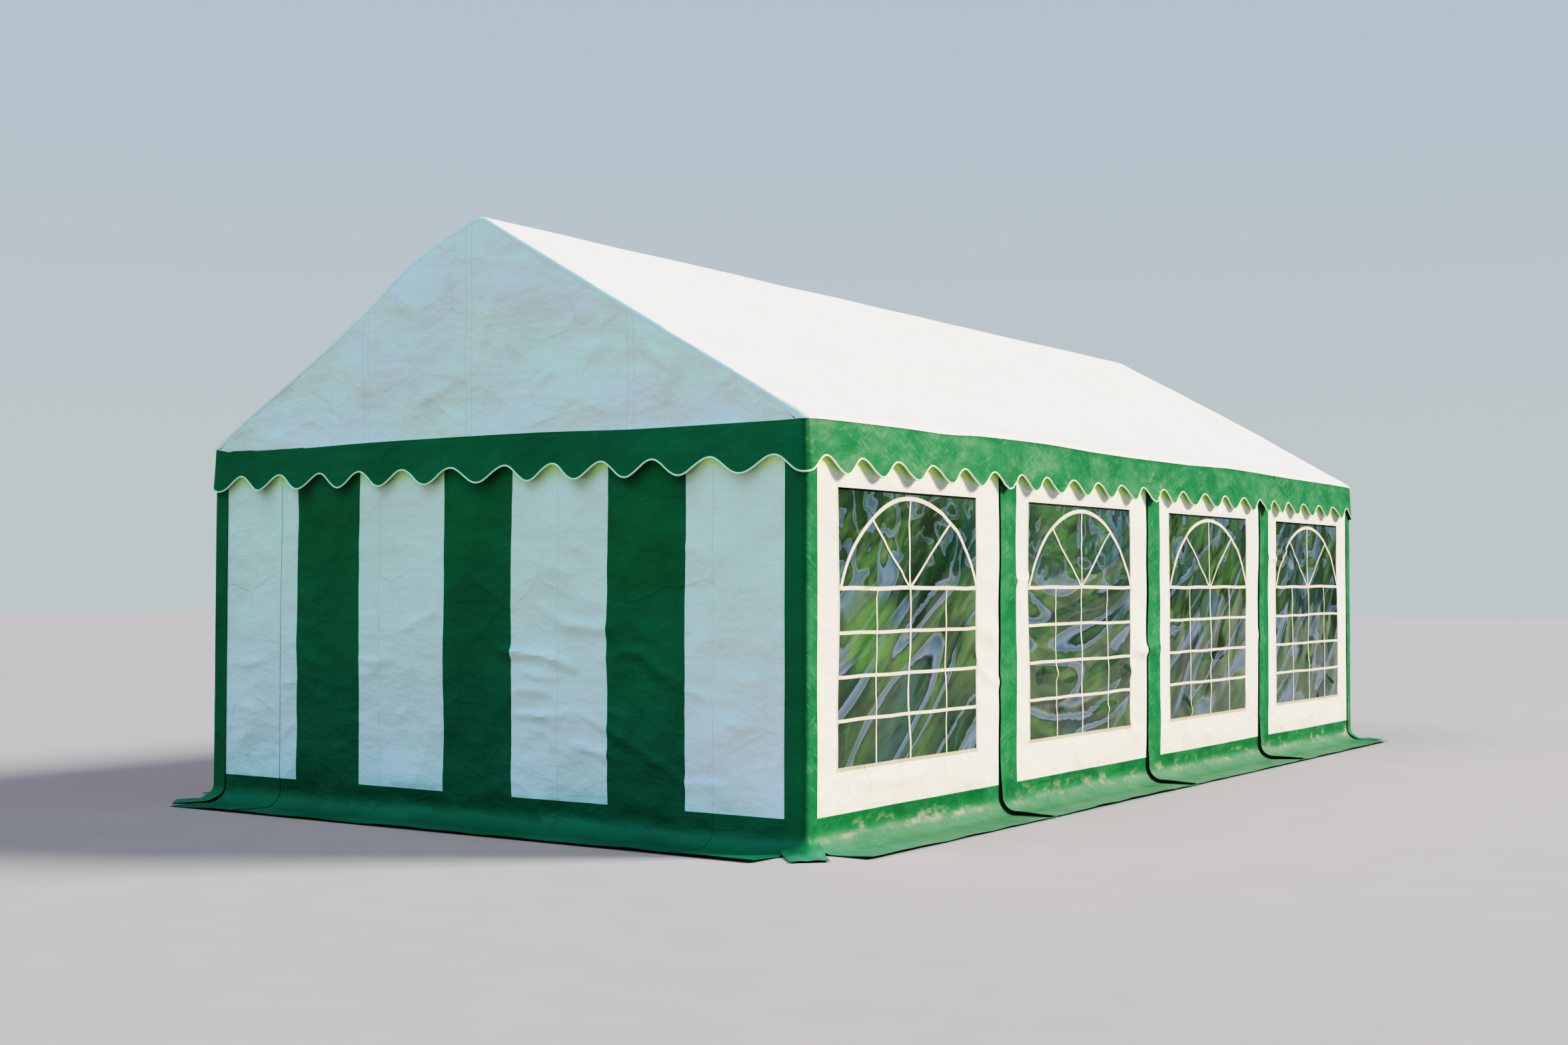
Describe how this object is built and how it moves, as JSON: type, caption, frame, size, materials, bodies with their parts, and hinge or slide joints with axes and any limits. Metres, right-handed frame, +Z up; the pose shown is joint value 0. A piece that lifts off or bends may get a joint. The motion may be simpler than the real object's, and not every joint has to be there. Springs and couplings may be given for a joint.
{
  "type": "marquee tent",
  "caption": "Rectangular party marquee: steel tube frame, pitched fabric roof with scalloped valances, striped gable walls with zip doors, side panels with arched clear windows.",
  "frame": {"origin": "on the ground at the middle of the plan", "axes": "+Y along the ridge towards the back gable, +X across the width towards the side called right, +Z up"},
  "size_m": [4.62, 8.62, 3.12],
  "materials": {
    "galvanised_steel": "dull zinc spangle",
    "white_fabric": "coated satin, finely creased",
    "green_fabric": "coated satin with pale scuffs",
    "panel_fabric": "white coated fabric with a green border strip and a green skirt",
    "striped_fabric": "green and white striped coated fabric with a green skirt",
    "clear_film": "clear rippled film with printed white glazing bars"
  },
  "bodies": {
    "root": {"post_right_1": "galvanised_steel", "post_right_2": "galvanised_steel", "post_right_3": "galvanised_steel", "post_right_4": "galvanised_steel", "post_right_5": "galvanised_steel", "post_left_1": "galvanised_steel", "post_left_2": "galvanised_steel", "post_left_3": "galvanised_steel", "post_left_4": "galvanised_steel", "post_left_5": "galvanised_steel", "roof_arch_1": "galvanised_steel", "roof_arch_2": "galvanised_steel", "roof_arch_3": "galvanised_steel", "roof_arch_4": "galvanised_steel", "roof_arch_5": "galvanised_steel", "ridge_tube": "galvanised_steel", "eave_tube_right": "galvanised_steel", "eave_tube_left": "galvanised_steel", "gable_bar_front": "galvanised_steel", "gable_bar_back": "galvanised_steel", "roof_cover": "white_fabric", "gable_front": "white_fabric", "gable_back": "white_fabric", "valance_right": "green_fabric", "valance_left": "green_fabric", "valance_front": "green_fabric", "valance_back": "green_fabric", "side_panel_right_1": "panel_fabric", "side_panel_right_2": "panel_fabric", "side_panel_right_3": "panel_fabric", "side_panel_right_4": "panel_fabric", "side_panel_left_1": "panel_fabric", "side_panel_left_2": "panel_fabric", "side_panel_left_3": "panel_fabric", "side_panel_left_4": "panel_fabric", "window_right_1": "clear_film", "window_right_2": "clear_film", "window_right_3": "clear_film", "window_right_4": "clear_film", "window_left_1": "clear_film", "window_left_2": "clear_film", "window_left_3": "clear_film", "window_left_4": "clear_film", "gable_wall_front_left": "striped_fabric", "gable_wall_front_right": "striped_fabric", "zip_door_front": "striped_fabric", "gable_wall_back_left": "striped_fabric", "gable_wall_back_right": "striped_fabric", "zip_door_back": "striped_fabric", "corner_strip_front_right": "green_fabric", "corner_strip_back_right": "green_fabric", "corner_strip_back_left": "green_fabric", "corner_strip_front_left": "green_fabric"}
  },
  "joints": []
}
